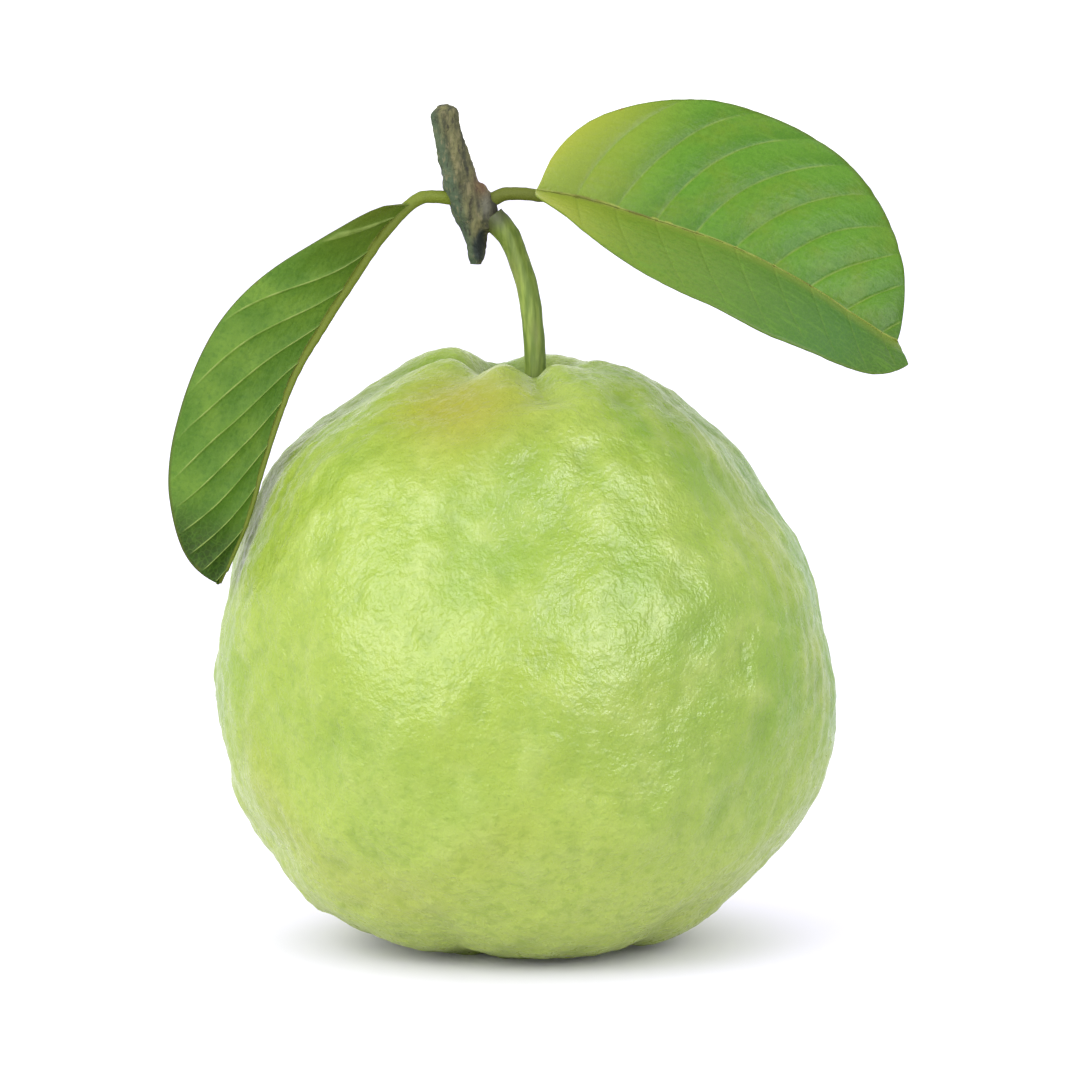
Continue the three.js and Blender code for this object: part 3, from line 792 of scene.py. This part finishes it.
def make_sepal(azimuth, number):
    """One sepal, curling out under the basin's wall and down to a point."""
    alongs = np.linspace(0.0, 1.0, SEPAL_ROWS)
    acrosses = np.linspace(-1.0, 1.0, SEPAL_COLUMNS)
    along, across = np.meshgrid(alongs, acrosses, indexing="ij")
    half_width = 0.5 * SEPAL_WIDTH * (1.0 - 0.86 * along**1.5)
    out = CALYX_RADIUS - 0.8 * CALYX_WALL + SEPAL_LENGTH * along
    middle = CALYX_LOWEST + 1.6 - SEPAL_DROP * np.sin(0.55 * math.pi * along)
    height = middle + 0.5 * across**2 * (1.0 - along)
    flat = np.stack([out, half_width * across, height], -1)
    relief = 0.09 * unevenness(flat * np.array([0.4, 1.0, 1.0]) + number * 7.0, 63, 0.9)
    turn = math.radians(azimuth)
    spin = np.array([[math.cos(turn), math.sin(turn), 0], [-math.sin(turn), math.cos(turn), 0], [0, 0, 1]])
    half_thick = 0.5 * SEPAL_THICKNESS * (1.0 - 0.55 * np.abs(across) ** 3) * (1.0 - 0.4 * along**4)
    level = np.zeros_like(out)
    upper = flat + np.stack([level, level, half_thick + relief], -1)
    lower = flat - np.stack([level, level, half_thick - relief], -1)
    points = np.concatenate([(upper @ spin).reshape(-1, 3), (lower @ spin).reshape(-1, 3)])
    values = np.concatenate([relief.ravel(), relief.ravel()]) * 10.0
    faces = plate_faces(SEPAL_ROWS, SEPAL_COLUMNS)
    return make_object("sepal_%d" % number, points, faces, {"relief": values})


def linear(red, green, blue):
    """The shader's own numbers for what should look like this colour, 0 to 255, in the studio's light."""
    values = np.array([red, green, blue]) / 255.0
    low = values / 12.92
    high = ((values + 0.055) / 1.055) ** 2.4
    return (*(np.where(values <= 0.04045, low, high) / STUDIO_LIGHT).tolist(), 1.0)


class Paint:
    """The nodes of one material, each made by a short call."""

    def __init__(self, name, **shader_values):
        self.material = bpy.data.materials.new(name)
        self.material.use_nodes = True
        self.tree = self.material.node_tree
        self.shader = self.tree.nodes["Principled BSDF"]
        for key, value in shader_values.items():
            self.shader.inputs[key.replace("_", " ")].default_value = value
        self.place = self.tree.nodes.new("ShaderNodeTexCoord").outputs["Object"]

    def put(self, socket, value):
        if isinstance(value, bpy.types.NodeSocket):
            self.tree.links.new(value, socket)
        else:
            socket.default_value = value

    def attribute(self, name):
        node = self.tree.nodes.new("ShaderNodeAttribute")
        node.attribute_name = name
        return node.outputs["Fac"]

    def noise(self, size, detail=2.0, stretch=(1.0, 1.0, 1.0), rough=0.5):
        """Soft noise whose blobs are about size millimetres across, drawn out along an axis below 1."""
        mapping = self.tree.nodes.new("ShaderNodeMapping")
        mapping.inputs["Scale"].default_value = stretch
        self.put(mapping.inputs["Vector"], self.place)
        node = self.tree.nodes.new("ShaderNodeTexNoise")
        node.inputs["Scale"].default_value = 1.0 / (size * MM)
        node.inputs["Detail"].default_value = detail
        node.inputs["Roughness"].default_value = rough
        self.put(node.inputs["Vector"], mapping.outputs["Vector"])
        return node.outputs["Fac"]

    def noise_in(self, *fields):
        """Soft noise laid out in up to three attributes, each given with the size of its blobs there."""
        joined = self.tree.nodes.new("ShaderNodeCombineXYZ")
        for socket, (value, size) in zip(joined.inputs, fields):
            self.put(socket, self.work("DIVIDE", value, size))
        node = self.tree.nodes.new("ShaderNodeTexNoise")
        node.inputs["Scale"].default_value = 1.0
        node.inputs["Detail"].default_value = 2.0
        self.put(node.inputs["Vector"], joined.outputs["Vector"])
        return node.outputs["Fac"]

    def cells(self, size):
        """The distance to the nearest edge of a net whose meshes are about size millimetres across."""
        node = self.tree.nodes.new("ShaderNodeTexVoronoi")
        node.feature = "DISTANCE_TO_EDGE"
        node.inputs["Scale"].default_value = 1.0 / (size * MM)
        self.put(node.inputs["Vector"], self.place)
        return node.outputs["Distance"]

    def step(self, value, low, high, start=0.0, end=1.0):
        """start below low, end above high, and smooth between."""
        node = self.tree.nodes.new("ShaderNodeMapRange")
        node.interpolation_type = "SMOOTHSTEP"
        self.put(node.inputs["Value"], value)
        for key, number in zip(("From Min", "From Max", "To Min", "To Max"), (low, high, start, end)):
            self.put(node.inputs[key], number)
        return node.outputs["Result"]

    def work(self, operation, *values):
        node = self.tree.nodes.new("ShaderNodeMath")
        node.operation = operation
        for socket, value in zip(node.inputs, values):
            self.put(socket, value)
        return node.outputs["Value"]

    def mix(self, share, start, end):
        node = self.tree.nodes.new("ShaderNodeMix")
        node.data_type = "RGBA"
        self.put(node.inputs[0], share)
        self.put(node.inputs[6], start)
        self.put(node.inputs[7], end)
        return node.outputs[2]

    def bump(self, height, depth, below=None):
        """Shades the surface as if height, 0 to 1, stood depth millimetres out of it."""
        node = self.tree.nodes.new("ShaderNodeBump")
        node.inputs["Distance"].default_value = depth * MM
        self.put(node.inputs["Height"], height)
        if below is not None:
            self.put(node.inputs["Normal"], below)
        return node.outputs["Normal"]

    def finish(self, color, rough=None, normal=None):
        self.put(self.shader.inputs["Base Color"], color)
        if rough is not None:
            self.put(self.shader.inputs["Roughness"], rough)
        if normal is not None:
            self.put(self.shader.inputs["Normal"], normal)
        return self.material


def skin_material():
    gloss = {"IOR": 1.42, "Specular_IOR_Level": 0.38}
    paint = Paint("fruit_skin", **gloss, Subsurface_Weight=0.12, Subsurface_Scale=0.004)
    paint.shader.inputs["Subsurface Radius"].default_value = (0.8, 1.0, 0.3)
    # ripe: the skin's own ripeness, with painted shade on the +X side in it
    ripe = paint.attribute("ripe")
    relief = paint.attribute("relief")
    fine = paint.noise(1.6, 3.0)
    coarse = paint.noise(6.0, 3.0)
    color = paint.mix(ripe, linear(146, 198, 62), linear(198, 228, 84))
    # Painted light: the skin is lighter toward the floor, against the shade near it
    color = paint.mix(paint.attribute("low"), color, linear(226, 250, 116))
    color = paint.mix(paint.step(coarse, 0.42, 0.72, 0.0, 0.5), color, linear(220, 243, 124))
    color = paint.mix(paint.step(fine, 0.5, 0.68, 0.0, 0.35), color, linear(168, 205, 70))
    color = paint.mix(paint.step(paint.noise(0.9, 1.0), 0.68, 0.78, 0.0, 0.25), color, linear(141, 178, 62))
    # Painted highlight on the crests of the skin's relief and painted shade in its dips
    color = paint.mix(paint.step(relief, 0.05, 0.35, 0.0, 0.3), color, linear(225, 247, 136))
    color = paint.mix(paint.step(relief, -0.05, -0.35, 0.0, 0.3), color, linear(151, 190, 62))
    # Painted shade: the skin is darker and greener in the furrows
    color = paint.mix(paint.step(paint.attribute("furrow"), 0.5, 2.4, 0.0, 0.4), color, linear(136, 180, 62))
    color = paint.mix(paint.work("MULTIPLY", paint.attribute("blush"), 0.6), color, linear(206, 188, 26))
    # Painted shade in the stalk's cavity, partly the skin's own duller tone there
    color = paint.mix(paint.work("MULTIPLY", paint.attribute("cavity"), 0.6), color, linear(129, 148, 60))
    crackle = paint.bump(paint.noise(0.9, 3.0), 0.28)
    pores = paint.bump(paint.noise(0.45, 1.0), 0.03, crackle)
    return paint.finish(color, paint.step(fine, 0.3, 0.7, 0.26, 0.4), pores)


def calyx_material():
    paint = Paint("dried_calyx")
    relief = paint.attribute("relief")
    color = paint.mix(paint.noise(0.8, 3.0), linear(92, 65, 40), linear(151, 116, 75))
    color = paint.mix(paint.step(relief, 0.2, 1.4, 0.0, 0.6), color, linear(188, 156, 107))
    return paint.finish(color, 0.85, paint.bump(paint.noise(0.4, 3.0), 0.08))


def stalk_material():
    paint = Paint("green_stalk", Specular_IOR_Level=0.3)
    along = paint.attribute("along")
    streaks = paint.noise(0.7, 3.0, (1.0, 1.0, 0.12))
    patches = paint.noise(2.5, 2.0, (1.0, 1.0, 0.3))
    color = paint.mix(paint.step(streaks, 0.35, 0.68), linear(132, 164, 44), linear(184, 210, 84))
    color = paint.mix(paint.step(patches, 0.5, 0.7, 0.0, 0.45), color, linear(176, 184, 88))
    color = paint.mix(paint.step(along, 0.6, 0.9, 0.0, 0.5), color, linear(110, 132, 30))
    color = paint.mix(paint.step(along, 0.9, 0.98, 0.0, 0.85), color, linear(74, 82, 22))
    # Painted shade: the stalk's foot is darker down in the fruit's cavity
    color = paint.mix(paint.step(along, 0.25, 0.16, 0.0, 0.75), color, linear(84, 88, 26))
    return paint.finish(color, 0.6, paint.bump(streaks, 0.12))


def bark_material():
    paint = Paint("bark", Specular_IOR_Level=0.25)
    streaks = paint.noise(1.5, 4.0, (1.0, 1.0, 0.2), 0.65)
    flecks = paint.noise(0.7, 3.0, (1.0, 1.0, 0.4), 0.6)
    color = paint.mix(paint.step(streaks, 0.36, 0.66), linear(72, 76, 44), linear(144, 142, 88))
    color = paint.mix(paint.work("MULTIPLY", paint.attribute("mossy"), 0.75), color, linear(88, 116, 82))
    color = paint.mix(paint.step(flecks, 0.54, 0.68, 0.0, 0.5), color, linear(168, 158, 112))
    color = paint.mix(paint.step(flecks, 0.46, 0.3, 0.0, 0.75), color, linear(42, 40, 28))
    color = paint.mix(paint.work("MULTIPLY", paint.attribute("rust"), 0.8), color, linear(132, 92, 56))
    color = paint.mix(paint.work("MULTIPLY", paint.attribute("scar"), 0.6), color, linear(172, 170, 146))
    color = paint.mix(paint.work("MULTIPLY", paint.attribute("collar"), 0.9), color, linear(50, 46, 28))
    # Painted shade: near black in the hollow below the node
    color = paint.mix(paint.step(paint.attribute("hollow"), 0.15, 0.6, 0.0, 0.92), color, linear(38, 54, 48))
    return paint.finish(color, 0.85, paint.bump(flecks, 0.25))


# The leaves' colours from 0 to 255, about as they should look, and how clearly their side veins show
HANGING_TONES = {
    # light and dark: painted light and painted shade on the two sides of each strip between side veins; dark
    # also tints fine flecks
    "light": (122, 174, 50),
    "dark": (70, 128, 20),
    "mellow": (120, 160, 34),
    "near_base": (92, 150, 30),
    "near_tip": (84, 142, 34),
    "under_light": (134, 178, 54),
    "under_dark": (102, 152, 34),
    "base": (118, 136, 24),
    # tip: painted shade of the curled tip
    "tip": (48, 80, 4),
    "pale": (122, 170, 56),
    "vein": (180, 206, 104),
    "margin": (104, 116, 36),
    "dry": (128, 112, 42),
    "rib": (142, 156, 50),
    "rib_brown": (122, 128, 34),
    "petiole": (142, 160, 48),
    "vein_strength": 0.9,
}

REACHING_TONES = {
    # light and dark: painted light and painted shade on the two sides of each strip between side veins; dark
    # also tints fine flecks
    "light": (112, 172, 42),
    "dark": (84, 144, 20),
    "mellow": (130, 164, 30),
    "near_base": (144, 178, 48),
    # near_tip: partly painted sheen, the near half's bluish green seen at a grazing angle
    "near_tip": (90, 146, 62),
    "under_light": (112, 160, 60),
    "under_dark": (96, 146, 46),
    "base": (196, 208, 70),
    "tip": (88, 134, 36),
    "pale": (130, 184, 60),
    "vein": (158, 194, 78),
    "margin": (118, 152, 36),
    "dry": (176, 140, 46),
    "rib": (188, 202, 92),
    "rib_brown": (132, 122, 40),
    "petiole": (122, 134, 40),
    "vein_strength": 0.6,
}


def leaf_material(name, tones):
    """A leaf's two sides, its side veins, the cross veins between them, its rib and its margin."""
    paint = Paint(name, Specular_IOR_Level=0.12)
    tone = {key: linear(*value) for key, value in tones.items() if key != "vein_strength"}
    count = paint.attribute("row")
    share = paint.attribute("share")
    along = paint.attribute("along")
    out = paint.attribute("out")
    underside = paint.attribute("underside")
    minus = paint.attribute("minus")
    blotches = paint.noise(7.0, 3.0)

    # Upper side: each strip between two side veins darkens toward the next vein, painted shade on the side
    # of each quilted strip that faces away from the light
    strip = paint.work("FRACT", count)
    top = paint.mix(paint.step(strip, 0.3, 0.97, 0.0, 0.75), tone["light"], tone["dark"])
    top = paint.mix(paint.step(blotches, 0.45, 0.75, 0.0, 0.65), top, tone["mellow"])
    # The near half, from its base tone to its tip tone; on the reaching leaf the bluish green toward the tip
    # is partly painted sheen
    near = paint.mix(paint.step(along, 0.1, 0.9), tone["near_base"], tone["near_tip"])
    top = paint.mix(minus, top, near)
    bottom = paint.mix(paint.step(blotches, 0.35, 0.7), tone["under_dark"], tone["under_light"])
    color = paint.mix(underside, top, bottom)

    # Tip: darker toward it, on the hanging leaf painted shade of its curled tip
    color = paint.mix(paint.step(along, 0.8, 0.95, 0.0, 0.9), color, tone["tip"])

    # Cross veins and the fine net
    cross = paint.noise_in((out, 1.1), (count, 0.9))
    color = paint.mix(paint.step(cross, 0.56, 0.64, 0.0, 0.3), color, tone["pale"])
    color = paint.mix(paint.step(paint.cells(0.9), 0.1, 0.02, 0.0, 0.25), color, tone["pale"])
    color = paint.mix(paint.step(paint.noise(0.7, 3.0), 0.46, 0.7, 0.0, 0.35), color, tone["dark"])

    # Base
    toward_margin = paint.step(share, 0.0, 1.0, 0.55, 0.95)
    toward_base = paint.work("MULTIPLY", paint.step(along, 0.34, 0.02), toward_margin)
    color = paint.mix(toward_base, color, tone["base"])

    # Side veins, fainter where they wear thin and toward the margin
    past_halfway = paint.work("FRACT", paint.work("ADD", count, 0.5))
    off_vein = paint.work("ABSOLUTE", paint.work("SUBTRACT", past_halfway, 0.5))
    worn = paint.step(paint.noise(3.0, 2.0), 0.35, 0.6, 0.45, 1.0)
    clear = paint.work("MULTIPLY", worn, paint.step(share, 0.98, 0.82))
    clear = paint.work("MULTIPLY", clear, paint.step(minus, 0.0, 1.0, 1.0, 0.3))
    on_vein = paint.work("MULTIPLY", paint.step(off_vein, 0.042, 0.018, 0.0, tones["vein_strength"]), clear)
    color = paint.mix(on_vein, color, tone["vein"])

    # Margin with a few dry spots
    color = paint.mix(paint.step(share, 0.972, 0.992, 0.0, 0.6), color, tone["margin"])
    spots = paint.step(paint.noise(3.5, 2.0), 0.62, 0.7)
    spots = paint.work("MULTIPLY", spots, paint.step(share, 0.94, 0.985))
    spots = paint.work("MULTIPLY", spots, paint.step(minus, 1.0, 0.0))
    color = paint.mix(paint.work("MULTIPLY", spots, 0.8), color, tone["dry"])

    # Rib: pale with brown stretches, wide at the base and thin at the tip
    brown = paint.step(paint.noise(6.0, 2.0), 0.5, 0.62, 0.0, 0.8)
    rib_tone = paint.mix(brown, tone["rib"], tone["rib_brown"])
    width = paint.step(along, 0.0, 0.8, 0.6, 0.28)
    on_rib = paint.step(paint.work("DIVIDE", out, width), 1.0, 0.6, 0.0, 0.85)
    beside_rib = paint.work("MULTIPLY", paint.step(out, 3.5, 0.3, 0.0, 0.4), minus)
    color = paint.mix(beside_rib, color, tone["rib"])
    color = paint.mix(on_rib, color, rib_tone)
    color = paint.mix(paint.step(paint.attribute("rib"), 0.3, 0.7), color, tone["petiole"])
    fine = paint.bump(paint.noise(0.6, 3.0), 0.12, paint.bump(cross, 0.12))
    return paint.finish(color, paint.step(underside, 0.0, 1.0, 0.45, 0.65), fine)


def way(azimuth, elevation):
    """The direction to a place round the object: azimuth 0 is the front's side, 90 is +X."""
    turn = math.radians(azimuth)
    rise = math.radians(elevation)
    return np.array([math.sin(turn) * math.cos(rise), -math.cos(turn) * math.cos(rise), math.sin(rise)])


def softbox(name, azimuth, elevation, width, height, radiance, in_gloss):
    """A soft light that, seen from the fruit, covers width by height in degrees.

    It either lights surfaces or is seen in their gloss, so that the two can be set apart.
    """
    middle = AXIS + np.array([0.0, 0.0, WAIST_HEIGHT])
    distance = SOFTBOX_DISTANCE * MM
    light = bpy.data.lights.new(name, "AREA")
    light.shape = "RECTANGLE"
    light.size = 2.0 * distance * math.tan(math.radians(0.5 * width))
    light.size_y = 2.0 * distance * math.tan(math.radians(0.5 * height))
    light.energy = radiance * math.pi * light.size * light.size_y
    made = bpy.data.objects.new(name, light)
    toward = way(azimuth, elevation)
    made.location = middle * MM + toward * distance
    made.rotation_euler = Vector(toward).to_track_quat("Z", "Y").to_euler()
    made.visible_camera = False
    made.visible_glossy = in_gloss
    made.visible_diffuse = not in_gloss
    bpy.context.scene.collection.objects.link(made)


def add_lights():
    """A white surround with a softbox on each side, stronger in the skin's gloss than on the skin."""
    for in_gloss, left, right in ((False, 2.6, 0.7), (True, 9.8, 15.5)):
        softbox("left_softbox", -44.0, 25.0, 45.0, 44.0, left, in_gloss)
        softbox("right_softbox", 37.5, 26.0, 32.0, 44.0, right, in_gloss)
    world = bpy.data.worlds.new("studio")
    world.use_nodes = True
    background = world.node_tree.nodes["Background"]
    background.inputs["Color"].default_value = (1.0, 1.0, 1.0, 1.0)
    background.inputs["Strength"].default_value = SURROUND
    bpy.context.scene.world = world
    bpy.context.scene.view_settings.view_transform = "Standard"


def add_floor():
    bpy.ops.mesh.primitive_plane_add(size=FLOOR_SIZE * MM, location=(0.0, 0.0, 0.0))
    floor = bpy.context.object
    floor.name = "floor"
    paint = Paint("floor", Roughness=1.0, IOR=1.0)
    floor.data.materials.append(paint.finish(FLOOR_COLOR))


def add_camera():
    camera = bpy.data.cameras.new("camera")
    camera.lens = CAMERA_LENS
    camera.sensor_width = 36.0
    made = bpy.data.objects.new("camera", camera)
    toward = way(0.0, CAMERA_ELEVATION)
    made.location = (CAMERA_AIM + CAMERA_DISTANCE * toward) * MM
    made.rotation_euler = Vector(toward).to_track_quat("Z", "Y").to_euler()
    bpy.context.scene.collection.objects.link(made)
    bpy.context.scene.camera = made


def dress(piece, node, material):
    """Gives a piece its material, hangs it under the root body and hides the part's own piece for that node.
    """
    piece.data.materials.clear()
    piece.data.materials.append(material)
    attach(piece, "root")
    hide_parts(node)


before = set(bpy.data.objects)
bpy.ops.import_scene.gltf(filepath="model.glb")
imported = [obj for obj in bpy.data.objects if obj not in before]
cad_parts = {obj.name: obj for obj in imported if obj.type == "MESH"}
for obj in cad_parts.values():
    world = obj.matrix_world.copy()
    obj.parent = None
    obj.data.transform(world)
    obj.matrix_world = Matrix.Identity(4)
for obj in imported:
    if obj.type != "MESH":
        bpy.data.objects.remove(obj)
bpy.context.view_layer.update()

dress(make_fruit(), "fruit", skin_material())
dress(make_calyx(), "calyx", calyx_material())
dress(make_stalk(), "fruit_stalk", stalk_material())
dress(make_twig(), "twig", bark_material())
hanging = leaf_material("hanging_leaf", HANGING_TONES)
dress(make_leaf("hanging_leaf", LEAF_LEFT), "leaf_left", hanging)
reaching = leaf_material("reaching_leaf", REACHING_TONES)
dress(make_leaf("reaching_leaf", LEAF_RIGHT), "leaf_right", reaching)

add_floor()
add_lights()
add_camera()
